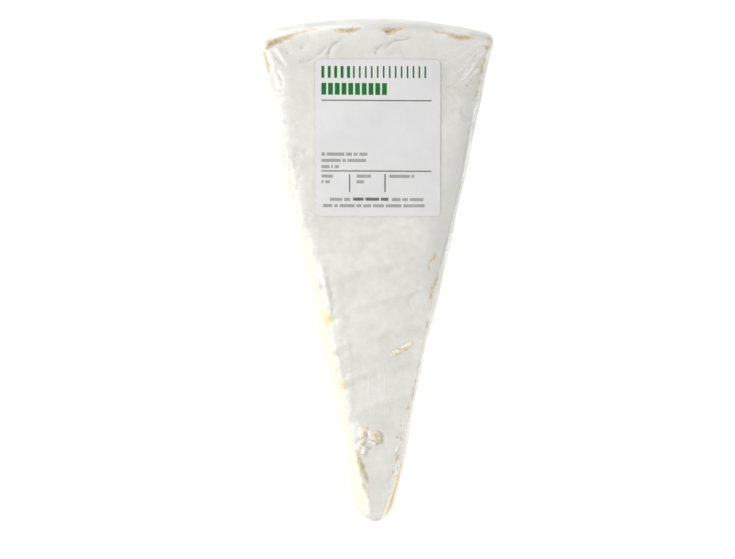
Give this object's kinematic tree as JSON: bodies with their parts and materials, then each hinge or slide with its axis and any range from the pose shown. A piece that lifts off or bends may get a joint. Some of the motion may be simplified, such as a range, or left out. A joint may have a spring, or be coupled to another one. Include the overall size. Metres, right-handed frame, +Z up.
{
  "type": "wedge of brie in clear film",
  "caption": "Long narrow wedge of soft white-rinded cheese with bulging cut faces, tightly wrapped in clear film, with a paper price label on its rind.",
  "frame": {"origin": "centre of the footprint's bounding box, on the surface that the wedge lies on", "axes": "+Y runs along the wedge from its blunt point to its curved rim, +Z is up through the top rind, and +X points to the right when the rim is away from the viewer"},
  "size_m": [0.0761, 0.165, 0.0287],
  "materials": {
    "wrapped_cheese": "white bloomy rind and pale yellow paste under glossy clear film",
    "label": "smooth white printed paper"
  },
  "bodies": {
    "root": {"brie_wedge": "wrapped_cheese", "label": "label"}
  },
  "joints": []
}
